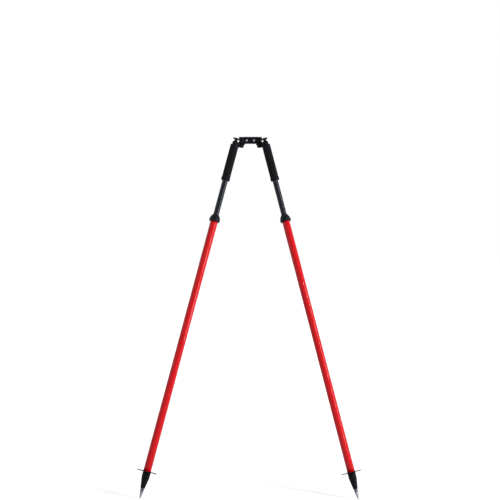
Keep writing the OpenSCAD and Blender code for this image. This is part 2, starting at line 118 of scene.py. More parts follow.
def turned(profile, sides=96):
    """A lathe piece round z: a point is drawn along a profile of radius and height, then spun once round."""
    nothing_selected()
    bpy.ops.mesh.primitive_plane_add(size=mm, location=(0, 0, 0))
    bpy.ops.object.mode_set(mode="EDIT")
    bpy.ops.mesh.merge(type="CENTER")
    radius, height = profile[0]
    bpy.ops.transform.translate(value=(radius, 0, height))
    for here, there in zip(profile, profile[1:]):
        step = (there[0] - here[0], 0, there[1] - here[1])
        bpy.ops.mesh.extrude_vertices_move(TRANSFORM_OT_translate={"value": step})
    bpy.ops.mesh.select_all(action="SELECT")
    bpy.ops.mesh.spin(steps=sides, angle=2 * math.pi, center=(0, 0, 0), axis=(0, 0, 1))
    bpy.ops.mesh.select_all(action="SELECT")
    bpy.ops.mesh.remove_doubles(threshold=weld)
    bpy.ops.mesh.normals_make_consistent(inside=False)
    bpy.ops.object.mode_set(mode="OBJECT")
    return bpy.context.object


def plug(radius, low, high, sides):
    """A turned solid round z."""
    return turned([(0, low), (radius, low), (radius, high), (0, high)], sides)


def carve(piece, tool, how="DIFFERENCE"):
    """Cuts a tool from a piece, adds it, or keeps what the two share, and throws the tool away."""
    work = piece.modifiers.new("carve", "BOOLEAN")
    work.object = tool
    work.operation = how
    work.solver = "EXACT"
    take_up(piece)
    bpy.ops.object.modifier_apply(modifier="carve")
    bpy.data.objects.remove(tool)
    return piece


def soften(piece, width, segments=3, sharper_than=40):
    """Rounds every edge that is sharper than an angle in degrees."""
    take_up(piece)
    bpy.ops.object.mode_set(mode="EDIT")
    bpy.ops.mesh.select_all(action="SELECT")
    bpy.ops.mesh.remove_doubles(threshold=fine_weld)
    bpy.ops.mesh.dissolve_limited(angle_limit=flat_angle)
    bpy.ops.object.mode_set(mode="OBJECT")
    work = piece.modifiers.new("soften", "BEVEL")
    work.width = width
    work.segments = segments
    work.limit_method = "ANGLE"
    work.angle_limit = math.radians(sharper_than)
    bpy.ops.object.modifier_apply(modifier="soften")
    bpy.ops.object.shade_smooth_by_angle(angle=smooth_angle)
    return piece


def set_down(piece, place):
    """Keeps the piece's own coordinates for its finish, then moves its mesh to where it belongs."""
    own = piece.data.attributes.new("made_at", "FLOAT_VECTOR", "POINT")
    own.data.foreach_set("vector", [c for v in piece.data.vertices for c in v.co])
    piece.matrix_world = place
    take_up(piece)
    settle()
    return piece


class Socket:
    """One output of a shader node. A sum on it adds Math nodes to its tree."""

    def __init__(self, tree, output):
        self.tree = tree
        self.output = output

    def node(self, kind, settings, inputs, out=0):
        """Adds a node of this kind with its settings and inputs, and gives back one of its outputs."""
        made = self.tree.nodes.new(kind)
        for name, value in settings.items():
            setattr(made, name, value)
        for name, value in inputs.items():
            if isinstance(value, Socket):
                self.tree.links.new(value.output, made.inputs[name])
            else:
                made.inputs[name].default_value = value
        return Socket(self.tree, made.outputs[out])

    def sum(self, operation, left, right):
        """A Math node on two values or sockets."""
        return self.node("ShaderNodeMath", {"operation": operation}, {0: left, 1: right})

    def __add__(self, other):
        return self.sum("ADD", self, other)

    def __sub__(self, other):
        return self.sum("SUBTRACT", self, other)

    def __rsub__(self, other):
        return self.sum("SUBTRACT", other, self)

    def __mul__(self, other):
        return self.sum("MULTIPLY", self, other)

    __radd__ = __add__
    __rmul__ = __mul__

    def grain(self, scale, detail=3.0, stretch=(1, 1, 1)):
        """Noise with this many grains to the metre, drawn out along an axis by stretch."""
        spot = self.node("ShaderNodeMapping", {}, {"Vector": self, "Scale": stretch})
        return self.node("ShaderNodeTexNoise", {}, {"Vector": spot, "Scale": scale, "Detail": detail})

    def between(self, low, high):
        """0 below low, 1 above high, and a smooth ramp in between."""
        return self.node("ShaderNodeMapRange", {"interpolation_type": "SMOOTHSTEP"},
                         {"Value": self, "From Min": low, "From Max": high})

    def tint(self, first, second):
        """The first colour where this is 0, and the second where it is 1."""
        return self.node("ShaderNodeMix", {"data_type": "RGBA"}, {0: self, 6: first, 7: second}, 2)

    def feed(self, shader, name):
        """Links this to one input of a shader."""
        self.tree.links.new(self.output, shader.inputs[name])

    def feed_bump(self, shader, strength, depth):
        """Raises the surface by this, as a bump."""
        bump = self.node("ShaderNodeBump", {}, {"Strength": strength, "Distance": depth, "Height": self})
        bump.feed(shader, "Normal")


def new_finish(name, made=True):
    """A material, its main shader, and where a point was on the piece when it was made."""
    material = bpy.data.materials.new(name)
    material.use_nodes = True
    tree = material.node_tree
    shader = tree.nodes["Principled BSDF"]
    if made:
        source = tree.nodes.new("ShaderNodeAttribute")
        source.attribute_name = "made_at"
        return material, shader, Socket(tree, source.outputs["Vector"])
    source = tree.nodes.new("ShaderNodeTexCoord")
    return material, shader, Socket(tree, source.outputs["Object"])


cool_sheen = (0.78, 0.87, 1, 1)


def painted_casting():
    """Black powder paint on cast metal: a fine pebbled skin, dull patches and a few grey rubs."""
    material, shader, spot = new_finish("painted_casting")
    patches = spot.grain(90)
    pebble = spot.grain(1500, 2)
    rubs = spot.grain(420, 4).between(0.66, 0.74) * patches.between(0.5, 0.62)
    black = patches.tint((0.002, 0.0022, 0.0035, 1), (0.004, 0.0043, 0.006, 1))
    rubs.tint(black, (0.018, 0.019, 0.023, 1)).feed(shader, "Base Color")
    (0.40 + 0.16 * patches + 0.08 * pebble).feed(shader, "Roughness")
    pebble.feed_bump(shader, 0.22, 0.12 * mm)
    shader.inputs["Specular IOR Level"].default_value = 0.09
    shader.inputs["Specular Tint"].default_value = cool_sheen
    return material


def hand_over(piece, name, finish, body, slot, *nodes):
    """Names a finished piece, gives it its material, ties it to its body and hides the CAD nodes it stands for."""
    piece.name = name
    piece.data.name = name
    piece.data.materials.clear()
    piece.data.materials.append(finish)
    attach(piece, body)
    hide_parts(*nodes)
    return piece


casting_black = painted_casting()
collar_low, collar_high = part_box("clamp_collar")
liner_low, liner_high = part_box("pole_liner")
bar_low, bar_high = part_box("head_bar")
stud_place = Vector(joints["clamp_turn"]["pos_m"])
collar_r = collar_high.x
clamp_top = collar_high.z
pad_half = 18.6 * mm
ear_x = 8.5 * mm
ear_half = 8.5 * mm
split_half = 1.5 * mm
stud_hole_r = 3.3 * mm
hexagon = 6
nut_r = 5.7 * mm
nut_sunk = 3 * mm
seat = 0.04 * mm
over = 1 * mm

collar = round_bar(collar_r, (0, 0, -clamp_top), (0, 0, clamp_top), 128)
carve(collar, block((-pad_half, collar_low.y, -clamp_top), (pad_half, -liner_high.x, clamp_top)), "UNION")
carve(collar, block((-ear_x, 0, -ear_half), (ear_x, stud_place.y, ear_half)), "UNION")
carve(collar, round_bar(ear_half, (-ear_x, stud_place.y, 0), (ear_x, stud_place.y, 0), 64), "UNION")
carve(collar, round_bar(liner_high.x + seat, (0, 0, -clamp_top - over), (0, 0, clamp_top + over), 128))
soften(collar, 0.9 * mm)
carve(collar, block((-split_half, 0, -clamp_top - over),
                    (split_half, collar_high.y + over, clamp_top + over)))
carve(collar, round_bar(stud_hole_r, (-ear_x - over, stud_place.y, 0), (ear_x + over, stud_place.y, 0), 48))
nut_pocket = plug(nut_r + seat, -over, nut_sunk, hexagon)
along_x = Matrix.Rotation(math.radians(90), 4, "Y")
nut_pocket.matrix_world = Matrix.Translation((-ear_x, stud_place.y, 0)) @ along_x
take_up(nut_pocket)
settle()
carve(collar, nut_pocket)
soften(collar, 0.3 * mm, 2, 60)
set_down(collar, Matrix.Identity(4))
hand_over(collar, "collar", casting_black, "head", "black_casting", "clamp_collar")

# Collar liner
# A split sleeve of black rubber that lines the collar, so that it grips
# without marking. It is pressed into the bore and held there by friction.
liner_bore = 16 * mm


def ring(bore, radius, low, high, sides=96):
    """A turned sleeve round z."""
    return turned([(bore, low), (radius, low), (radius, high), (bore, high), (bore, low)], sides)


def dull_rubber():
    """Black rubber: matt, faintly mottled and finely pitted."""
    material, shader, spot = new_finish("dull_rubber")
    mottle = spot.grain(160)
    pits = spot.grain(2600, 2)
    black = mottle.between(0.35, 0.7).tint((0.004, 0.004, 0.0055, 1), (0.008, 0.008, 0.010, 1))
    black.feed(shader, "Base Color")
    (0.68 + 0.2 * pits).feed(shader, "Roughness")
    pits.feed_bump(shader, 0.3, 0.1 * mm)
    shader.inputs["Specular IOR Level"].default_value = 0.1
    return material


rubber_black = dull_rubber()
liner = ring(liner_bore, liner_high.x, liner_low.z, liner_high.z, 128)
carve(liner, block((-split_half, 0, liner_low.z - over), (split_half, collar_r, liner_high.z + over)))
soften(liner, 0.35 * mm, 2)
set_down(liner, Matrix.Identity(4))
hand_over(liner, "liner", rubber_black, "head", "black_rubber", "pole_liner")

# Head bar
# A short cast bar, painted black and screwed to the pad of the collar. Each
# end is a boss bored upright for the bolt that a leg swivels on.
swivel_place = Vector(joints["right_swivel"]["pos_m"])
boss_r = 9.2 * mm
boss_low = -2 * mm
web_half = 5.5 * mm
swivel_bore_r = 3.56 * mm
swivel_head_r = 6 * mm
swivel_sunk = 4 * mm
head_gap = 0.3 * mm
screw_x = 12 * mm
screw_r = 2 * mm
screw_head_r = 3.5 * mm
screw_sunk = 3 * mm
screw_proud = 1 * mm
bar_mid_y = swivel_place.y
bar_front_y = bar_low.y
head_seat = bar_high.z - swivel_sunk

bar = block((-pad_half, bar_front_y, bar_low.z), (pad_half, bar_high.y, bar_high.z))
web = block((-swivel_place.x, bar_mid_y - web_half, boss_low),
            (swivel_place.x, bar_mid_y + web_half, bar_high.z))
carve(bar, web, "UNION")
for side in (-1, 1):
    boss_x = side * swivel_place.x
    carve(bar, round_bar(boss_r, (boss_x, bar_mid_y, boss_low), (boss_x, bar_mid_y, bar_high.z)), "UNION")
soften(bar, 1.2 * mm)
for side in (-1, 1):
    boss_x = side * swivel_place.x
    carve(bar, round_bar(swivel_bore_r, (boss_x, bar_mid_y, boss_low - over),
                         (boss_x, bar_mid_y, head_seat + over)))
    carve(bar, round_bar(swivel_head_r + head_gap, (boss_x, bar_mid_y, head_seat),
                         (boss_x, bar_mid_y, bar_high.z + over)))
    hole_x = side * screw_x
    carve(bar, round_bar(screw_r + seat, (hole_x, bar_front_y - over, 0), (hole_x, bar_high.y + over, 0), 48))
    carve(bar, round_bar(screw_head_r + seat, (hole_x, bar_front_y - over, 0),
                         (hole_x, bar_front_y + screw_sunk, 0), 64))
soften(bar, 0.35 * mm, 2, 60)
set_down(bar, Matrix.Identity(4))
hand_over(bar, "bar", casting_black, "head", "black_casting", "head_bar")

# Bar screws
# Two plated steel cap screws with a hexagon socket, sunk in the front of the
# bar. They pull it against the pad of the collar.
screw_key_r = 1.8 * mm
screw_key_deep = 2 * mm
screw_end_y = -20 * mm


def plated_screw_steel():
    """Plated steel turned on a lathe: fine rings, a dull haze and darker spots."""
    material, shader, spot = new_finish("plated_screw_steel")
    haze = spot.grain(350)
    rings = spot.grain(1800, 2, (0.15, 0.15, 1))
    haze.tint((0.26, 0.275, 0.30, 1), (0.36, 0.375, 0.40, 1)).feed(shader, "Base Color")
    (0.42 + 0.16 * haze).feed(shader, "Roughness")
    rings.feed_bump(shader, 0.15, 0.05 * mm)
    shader.inputs["Metallic"].default_value = 1
    return material


def hexagon_cut(piece, radius, low, high):
    """Cuts a hexagon socket round z."""
    return carve(piece, plug(radius, low, high, hexagon))


def twin(piece):
    """A copy of a piece, with its own mesh."""
    other = piece.copy()
    other.data = piece.data.copy()
    bpy.context.collection.objects.link(other)
    return other


screw_steel = plated_screw_steel()
screw_len = screw_end_y - (bar_front_y - screw_proud)
screw_head_len = screw_sunk + screw_proud
screw = turned([(0, 0), (screw_head_r, 0), (screw_head_r, screw_head_len), (screw_r, screw_head_len),
                (screw_r, screw_len), (0, screw_len)], 64)
soften(screw, 0.45 * mm)
hexagon_cut(screw, screw_key_r, -over, screw_key_deep)
soften(screw, 0.12 * mm, 2, 60)
along_y = Matrix.Rotation(math.radians(-90), 4, "X")
for side, name in ((-1, "left"), (1, "right")):
    placed = twin(screw)
    set_down(placed, Matrix.Translation((side * screw_x, bar_front_y - screw_proud, 0)) @ along_y)
    hand_over(placed, "bar_screw_" + name, screw_steel, "head", "bright_steel", "bar_screws")
bpy.data.objects.remove(screw)

# Pinch nut, washer and stud
# The stud is threaded rod moulded into the knob. It runs through both ears
# into a brass hexagon nut, and a plain washer lies under the knob.
thread_pitch = 1 * mm
thread_deep = 0.4 * mm
run = 0.06 * mm
nut_corner_in = 0.7 * mm
nut_corner_len = 0.6 * mm


def yellow_brass():
    """Cut brass: bright, a little stained, with fine tool lines."""
    material, shader, spot = new_finish("yellow_brass")
    stain = spot.grain(260, 4)
    lines = spot.grain(2200, 2, (1, 1, 0.1))
    stain.tint((0.55, 0.39, 0.14, 1), (0.68, 0.52, 0.22, 1)).feed(shader, "Base Color")
    (0.24 + 0.25 * stain).feed(shader, "Roughness")
    lines.feed_bump(shader, 0.12, 0.05 * mm)
    shader.inputs["Metallic"].default_value = 1
    return material


brass = yellow_brass()
nut_low, nut_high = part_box("clamp_nut")
stud_low, stud_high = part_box("clamp_stud")
stud_r = stud_high.z
nut_len = nut_high.x - nut_low.x
nut_bore = stud_r + run
nut = ring(nut_bore, nut_r, 0, nut_len, hexagon)
nut_round = turned([(0, 0), (nut_r - nut_corner_in, 0), (nut_r, nut_corner_len), (nut_r, nut_len + over),
                    (0, nut_len + over)], 64)
carve(nut, nut_round, "INTERSECT")
carve(nut, round_bar(nut_bore, (0, 0, -over), (0, 0, nut_len + over), 48))
soften(nut, 0.15 * mm, 2)
set_down(nut, Matrix.Translation((nut_low.x, stud_place.y, 0)) @ along_x)
hand_over(nut, "pinch_nut", brass, "head", "brass", "clamp_nut")

washer_low, washer_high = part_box("clamp_washer")
washer_r = washer_high.z
washer_t = washer_high.x - washer_low.x
washer = ring(nut_bore, washer_r, 0, washer_t, 64)
soften(washer, 0.2 * mm, 2)
set_down(washer, Matrix.Translation((washer_low.x, stud_place.y, 0)) @ along_x)
hand_over(washer, "pinch_washer", screw_steel, "clamp_washer", "bright_steel", "clamp_washer")

stud_len = stud_high.x - stud_low.x
stud_profile = [(0, 0)]
for turn in range(int(stud_len / thread_pitch)):
    stud_profile += [(stud_r - thread_deep, turn * thread_pitch), (stud_r, (turn + 0.5) * thread_pitch)]
stud_profile += [(stud_r - thread_deep, stud_len), (0, stud_len)]
stud = turned(stud_profile, 48)
take_up(stud)
bpy.ops.object.shade_smooth_by_angle(angle=smooth_angle)
set_down(stud, Matrix.Translation((stud_low.x, stud_place.y, 0)) @ along_x)
hand_over(stud, "pinch_stud", screw_steel, "clamp_knob", "bright_steel", "clamp_stud")

# Pinch knob
# A hand knob of black moulded plastic with six finger flutes and a round hub
# under it. Turning it draws the ears of the collar together.
knob_flutes = 6
knob_hub_r = 6.5 * mm
knob_hub = 3 * mm
flute_share = 0.14
flute_out_share = 0.58
cap_r = 5.5 * mm
cap_deep = 0.6 * mm


def moulded_plastic():
    """Black moulded plastic with a fine spark grain and faint handling marks."""
    material, shader, spot = new_finish("moulded_plastic")
    grain = spot.grain(3200, 2)
    marks = spot.grain(130, 4)
    marks.tint((0.004, 0.0045, 0.006, 1), (0.008, 0.0085, 0.011, 1)).feed(shader, "Base Color")
    (0.34 + 0.18 * marks).feed(shader, "Roughness")
    grain.feed_bump(shader, 0.18, 0.06 * mm)
    shader.inputs["Specular IOR Level"].default_value = 0.12
    shader.inputs["Specular Tint"].default_value = cool_sheen
    return material


plastic_black = moulded_plastic()
knob_low, knob_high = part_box("clamp_knob")
knob_r = max(knob_high.z, knob_high.y - stud_place.y)
knob_len = knob_high.x - knob_low.x
knob = turned([(0, 0), (knob_hub_r, 0), (knob_hub_r, knob_hub), (knob_r, knob_hub), (knob_r, knob_len),
               (0, knob_len)], 128)
for i in range(knob_flutes):
    around = Matrix.Rotation(i * 2 * math.pi / knob_flutes, 3, "Z")
    middle = around @ Vector((-2 * knob_r * flute_out_share, 0, 0))
    carve(knob, round_bar(2 * knob_r * flute_share, middle + Vector((0, 0, knob_hub - over)),
                          middle + Vector((0, 0, knob_len + over)), 48))
soften(knob, 1.1 * mm)
carve(knob, round_bar(cap_r, (0, 0, knob_len - cap_deep), (0, 0, knob_len + over), 64))
soften(knob, 0.2 * mm, 2, 60)
set_down(knob, Matrix.Translation((knob_low.x, stud_place.y, 0)) @ along_x)
hand_over(knob, "pinch_knob", plastic_black, "clamp_knob", "black_plastic", "clamp_knob")

# Knuckles
# A cast fork, painted black, turns on the bolt under each boss and carries the
# cross bolt that a leg hinges on. The leg's lug goes between its rounded cheeks.
hinge_place = Vector(joints["right_splay"]["pos_m"])
leg_up = -Vector(joints["right_extend"]["axis"])
leg_across = -Vector(joints["right_splay"]["axis"])
leg_out = leg_across.cross(Vector((0, 0, 1)))
splay = math.acos(leg_up.z)
pin_drop = swivel_place.z - hinge_place.z
knuckle_r = 9.2 * mm
cheek_r = 10.2 * mm
lobe_r = 7.8 * mm
flare_r = 11.4 * mm
knuckle_gap = 0.3 * mm
flare_top = bar_low.z - knuckle_gap
eye_r = 7.5 * mm
fork_half = 8.2 * mm
slot_r = 8.3 * mm
slot_half = 3.3 * mm
slot_reach = 40 * mm
slot_rise = math.radians(24)
hinge_r = 2.5 * mm
hinge_head_r = 4.2 * mm
hinge_sunk = 3 * mm
nut_foot = fork_half - hinge_sunk
knuckle_top = -3.3 * mm
swivel_thread_r = 2.9 * mm


def standing(x_way, y_way, z_way, place):
    """The matrix that takes a piece's own axes to these directions at this place."""
    turned_to = Matrix((x_way, y_way, z_way)).transposed().to_4x4()
    return Matrix.Translation(place) @ turned_to


def both_sides(piece, part, finish, body, slot, *nodes):
    """Ties the right hand piece to its body and makes the left hand one as its mirror image."""
    left = twin(piece)
    left.scale.x = -1
    take_up(left)
    settle()
    bpy.ops.object.mode_set(mode="EDIT")
    bpy.ops.mesh.select_all(action="SELECT")
    bpy.ops.mesh.normals_make_consistent(inside=False)
    bpy.ops.object.mode_set(mode="OBJECT")
    for side, one in (("left", left), ("right", piece)):
        stood_for = [side + "_" + node for node in nodes]
        hand_over(one, part + "_" + side, finish, side + "_" + body, slot, *stood_for)


on_swivel = standing(leg_out, leg_across, Vector((0, 0, 1)), swivel_place)
knuckle = block((-eye_r, -fork_half, -pin_drop), (eye_r, fork_half, knuckle_top))
carve(knuckle, round_bar(eye_r, (0, -fork_half, -pin_drop), (0, fork_half, -pin_drop)), "UNION")
quarter = [math.radians(angle) for angle in range(-90, 1, 6)]
lobe = turned([(lobe_r * math.cos(a), lobe_r * math.sin(a) - pin_drop) for a in quarter]
              + [(flare_r, flare_top), (cheek_r, flare_top), (cheek_r, knuckle_top), (0, knuckle_top)])
carve(knuckle, lobe, "INTERSECT")
carve(knuckle, round_bar(knuckle_r, (0, 0, slot_r - pin_drop), (0, 0, knuckle_top)), "UNION")
soften(knuckle, 0.8 * mm)
slot = block((0, -slot_half, -slot_reach), (slot_reach, slot_half, slot_r))
for corner in slot.data.vertices:
    if corner.co.x > 0 and corner.co.z > 0:
        corner.co.z += slot_reach * math.tan(slot_rise)
slot.data.transform(Matrix.Translation((0, 0, -pin_drop)))
carve(knuckle, slot)
carve(knuckle, block((-slot_reach, -slot_half, -pin_drop - slot_reach), (over, slot_half, slot_r - pin_drop)))
carve(knuckle, round_bar(hinge_r + seat, (0, -2 * fork_half, -pin_drop), (0, 2 * fork_half, -pin_drop), 48))
carve(knuckle, round_bar(hinge_head_r + seat, (0, -2 * fork_half, -pin_drop),
                         (0, -nut_foot, -pin_drop), 64))
nut_recess = plug(hinge_head_r + seat, 0, fork_half, hexagon)
nut_recess.data.transform(Matrix.Translation((0, nut_foot, -pin_drop)) @ along_y)
carve(knuckle, nut_recess)
carve(knuckle, round_bar(swivel_thread_r + seat, (0, 0, -pin_drop), (0, 0, knuckle_top + over), 48))
soften(knuckle, 0.35 * mm, 2, 60)
set_down(knuckle, on_swivel)
both_sides(knuckle, "knuckle", casting_black, "knuckle", "black_casting", "knuckle")

# Swivel bolts and washers
# A blackened shoulder bolt with a hexagon socket goes down through each boss
# into the knuckle, and a thin black plastic washer keeps the two castings apart.
bolt_head_t = 3.4 * mm
bolt_key_r = 2.7 * mm
bolt_key_deep = 2 * mm
swivel_r = 3.5 * mm
thread_left = 0.8 * mm
thin_washer_t = 1 * mm


def blackened_steel():
    """Steel blackened in oil: dark, slightly blue, greyer where a key or spanner rubs."""
    material, shader, spot = new_finish("blackened_steel")
    rub = spot.grain(500, 4)
    rub.between(0.5, 0.75).tint((0.022, 0.023, 0.027, 1), (0.075, 0.077, 0.083, 1)).feed(shader, "Base Color")
    (0.36 + 0.2 * rub).feed(shader, "Roughness")
    rub.feed_bump(shader, 0.1, 0.05 * mm)
    shader.inputs["Metallic"].default_value = 0.85
    return material


steel_black = blackened_steel()
bolt_seat = head_seat + head_gap
bolt_top = bolt_seat + bolt_head_t
bolt_end = slot_r + thread_left - pin_drop
bolt = turned([(0, bolt_end), (swivel_thread_r, bolt_end), (swivel_thread_r, knuckle_top),
               (swivel_r, knuckle_top), (swivel_r, bolt_seat), (swivel_head_r, bolt_seat),
               (swivel_head_r, bolt_top), (0, bolt_top)], 64)
soften(bolt, 0.5 * mm)
hexagon_cut(bolt, bolt_key_r, bolt_top - bolt_key_deep, bolt_top + over)
soften(bolt, 0.15 * mm, 2, 60)
set_down(bolt, on_swivel)
both_sides(bolt, "swivel_bolt", steel_black, "knuckle", "dark_steel", "swivel_bolt")

thin_r = knuckle_r - head_gap
thin_bore = swivel_r + seat
thin_top = knuckle_top + thin_washer_t
thin_washer = ring(thin_bore, thin_r, knuckle_top, thin_top, 64)
soften(thin_washer, 0.2 * mm, 2)
set_down(thin_washer, on_swivel)
both_sides(thin_washer, "swivel_washer", plastic_black, "knuckle", "black_plastic", "swivel_washer")

# Hinge bolts and nuts
# A blackened bolt with a round head crosses each fork through the leg's lug. A
# hexagon nut in a pocket of the far cheek holds it.
hinge_head_t = 1.8 * mm
hinge_nut_t = 2.6 * mm
cross_corner_len = 0.5 * mm
hinge_head_low = hinge_sunk - hinge_head_t - fork_half
hinge_end = nut_foot + hinge_nut_t
across_knuckle = on_swivel @ Matrix.Translation((0, 0, -pin_drop)) @ along_y
cross_bolt = turned([(0, hinge_head_low), (hinge_head_r, hinge_head_low), (hinge_head_r, -nut_foot),
                     (hinge_r, -nut_foot), (hinge_r, hinge_end), (0, hinge_end)], 64)
soften(cross_bolt, 0.5 * mm)
set_down(cross_bolt, across_knuckle)
both_sides(cross_bolt, "hinge_bolt", steel_black, "knuckle", "dark_steel", "hinge_bolt")

cross_bore = hinge_r + seat
cross_nut = plug(hinge_head_r, nut_foot, hinge_end, hexagon)
cross_round = turned([(0, nut_foot - over), (hinge_head_r, nut_foot - over),
                      (hinge_head_r, hinge_end - cross_corner_len), (hinge_head_r - nut_corner_in, hinge_end),
                      (0, hinge_end)], 64)
carve(cross_nut, cross_round, "INTERSECT")
carve(cross_nut, round_bar(cross_bore, (0, 0, nut_foot - over), (0, 0, hinge_end + over), 48))
soften(cross_nut, 0.12 * mm, 2)
set_down(cross_nut, across_knuckle)
both_sides(cross_nut, "hinge_nut", steel_black, "knuckle", "dark_steel", "hinge_nut")

# Leg heads
# Each leg hangs from a black casting: a flat lug in the fork, a socket for the
# inner tube, and a narrower hub above it that guides the thumb button.
points = {mount["name"]: Vector(mount["pos_m"]) for mount in frame["record"]["mounts"]}
leg_side = leg_across.cross(leg_up)
leg_off = (points["right_point"] - hinge_place).dot(leg_side)
on_hinge = standing(leg_side, leg_across, leg_up, hinge_place)
on_leg = standing(leg_side, leg_across, leg_up, hinge_place + leg_off * leg_side)


def along_leg(node):
    """Lowest and highest point of a right hand node along its leg, and its largest radius round the leg."""
    back = on_leg.inverted()
    spots = [back @ corner.co for corner in frame["nodes"]["right_" + node].data.vertices]
    return min(s.z for s in spots), max(s.z for s in spots), max(s.xy.length for s in spots)


head_low = along_leg("leg_head")[0]
grip_low, grip_high, bead_r = along_leg("grip")
inner_low, inner_high, inner_r = along_leg("inner_tube")
lug_half = 3 * mm
lug_r = 6.8 * mm
lug_low = 5.4 * mm
lug_top_pin = 6 * mm
lug_near = (10 * mm, 9.3 * mm)
lug_far = (23 * mm, 13.5 * mm)
socket_r = 14 * mm
socket_top = -8.5 * mm
ledge_rise = 1.5 * mm
ledge_top = socket_top + ledge_rise
hub_r = 9.6 * mm
hub_edge = 3 * mm
hub_len = 14 * mm
hub_top = socket_top + hub_len
hub_top_r = 6.7 * mm
sleeve_wall = 2 * mm
sleeve_r = inner_r + sleeve_wall
stem_r = 5 * mm
bore_top = inner_high + seat
close_by = 0.1 * mm

lug = block((0, -lug_half, -lug_low), (lug_near[0], lug_half, lug_near[1]))
for corner in lug.data.vertices:
    if corner.co.x < lug_near[0] / 2 and corner.co.z > 0:
        corner.co.z = lug_top_pin
take_up(lug)
bpy.ops.object.mode_set(mode="EDIT")
for reach, rise in ((lug_far[0] - lug_near[0], lug_far[1] - lug_near[1]), (leg_off - lug_far[0], 0)):
    bpy.ops.mesh.select_all(action="DESELECT")
    bpy.ops.object.mode_set(mode="OBJECT")
    end = max(corner.co.x for corner in lug.data.vertices)
    for face in lug.data.polygons:
        face.select = face.normal.x > 0.5 and abs(face.center.x - end) < close_by
    bpy.ops.object.mode_set(mode="EDIT")
    bpy.ops.mesh.extrude_region_move(TRANSFORM_OT_translate={"value": (reach, 0, 0)})
    bpy.ops.object.mode_set(mode="OBJECT")
    for corner in lug.data.vertices:
        if corner.co.x > end + close_by and corner.co.z > 0:
            corner.co.z += rise
    bpy.ops.object.mode_set(mode="EDIT")
bpy.ops.object.mode_set(mode="OBJECT")
lug.data.transform(Matrix.Rotation(splay, 4, "Y"))
carve(lug, round_bar(lug_r, (0, -lug_half, 0), (0, lug_half, 0), 64), "UNION")
socket = turned([(0, head_low), (sleeve_r, head_low), (sleeve_r, grip_high), (socket_r, grip_high),
                 (socket_r, socket_top), (hub_r, ledge_top), (hub_r, hub_top - hub_edge),
                 (hub_top_r, hub_top), (0, hub_top)])
socket.data.transform(Matrix.Translation((leg_off, 0, 0)))
leg_head = carve(socket, lug, "UNION")
soften(leg_head, 1.0 * mm)
carve(leg_head, round_bar(hinge_r + run, (0, -2 * lug_half, 0), (0, 2 * lug_half, 0), 48))
carve(leg_head, round_bar(inner_r + seat, (leg_off, 0, head_low - over), (leg_off, 0, bore_top)))
carve(leg_head, round_bar(stem_r + run, (leg_off, 0, bore_top - over), (leg_off, 0, hub_top + over), 64))
soften(leg_head, 0.3 * mm, 2, 60)
set_down(leg_head, on_hinge)
both_sides(leg_head, "leg_head", casting_black, "upper_leg", "black_casting", "leg_head")

# Thumb buttons
# A round button of black plastic on a stem, shallowly dished for the thumb.
# Pressing it pushes the rod down inside the leg and frees the clutch.
button_bottom, button_top, button_r = along_leg("thumb_button")
button_t = 3 * mm
dish_r = 7.9 * mm
dish_deep = 0.8 * mm
button_under = button_top - button_t
dish_low = button_top - dish_deep
button = turned([(0, button_bottom), (stem_r, button_bottom), (stem_r, button_under),
                 (button_r, button_under), (button_r, button_top), (dish_r, button_top),
                 (dish_r / 2, dish_low), (0, dish_low)])
soften(button, 0.9 * mm, 4, 30)
set_down(button, on_leg)
both_sides(button, "thumb_button", plastic_black, "release", "black_plastic", "thumb_button")

# Hand grips
# A sleeve of soft black rubber pushed over the top of each inner tube, up to
# the leg head. It has rounded ends and a low bead at the bottom.
grip_r = 14 * mm
bead_len = 9 * mm
bead_top = grip_low + bead_len
grip_bore = inner_r + seat
neck_bore = sleeve_r + seat
grip = turned([(grip_bore, grip_low), (bead_r, grip_low), (bead_r, bead_top), (grip_r, bead_top),
               (grip_r, grip_high), (neck_bore, grip_high), (neck_bore, head_low), (grip_bore, head_low),
               (grip_bore, grip_low)])
soften(grip, 0.6 * mm)
set_down(grip, on_leg)
both_sides(grip, "grip", rubber_black, "upper_leg", "black_rubber", "grip")

# Inner tubes
# Drawn aluminium tube, anodised satin black, fixed in the leg head. It slides in
# the outer tube, which leaves long fine rubs along it.
inner_wall = 1.5 * mm


def satin_anodise():
    """Black anodised tube: fine drawn lines along it and a soft metal sheen."""
    material, shader, spot = new_finish("satin_anodise")
    drawn = spot.grain(900, 3, (1, 1, 0.004))
    cloud = spot.grain(24)
    rubs = drawn.between(0.62, 0.74) * cloud.between(0.5, 0.7)
    black = cloud.tint((0.0025, 0.003, 0.0055, 1), (0.0045, 0.005, 0.008, 1))
    rubs.tint(black, (0.014, 0.015, 0.019, 1)).feed(shader, "Base Color")
    (0.12 + 0.08 * drawn).feed(shader, "Roughness")
    drawn.feed_bump(shader, 0.03, 0.03 * mm)
    shader.inputs["Specular IOR Level"].default_value = 0.23
    shader.inputs["Specular Tint"].default_value = cool_sheen
    return material


anodise_black = satin_anodise()
inner_bore = inner_r - inner_wall
inner_tube = ring(inner_bore, inner_r, inner_low, inner_high)
# One step keeps the rounding of the ends out of the smooth shading of the long faces.
soften(inner_tube, 0.25 * mm, 1)
set_down(inner_tube, on_leg)
both_sides(inner_tube, "inner_tube", anodise_black, "upper_leg", "black_anodised", "inner_tube")

# Release works
# Inside each inner tube an aluminium rod runs from the button to a brass cone,
# which works two nylon shoes in a brass plug. A coil spring lifts the rod again.


def brushed_aluminium():
    """Plain drawn aluminium rod."""
    material, shader, spot = new_finish("brushed_aluminium", False)
    streak = spot.grain(700, 3)
    streak.tint((0.60, 0.61, 0.62, 1), (0.72, 0.73, 0.74, 1)).feed(shader, "Base Color")
    (0.3 + 0.2 * streak).feed(shader, "Roughness")
    streak.feed_bump(shader, 0.08, 0.04 * mm)
    shader.inputs["Metallic"].default_value = 1
    return material


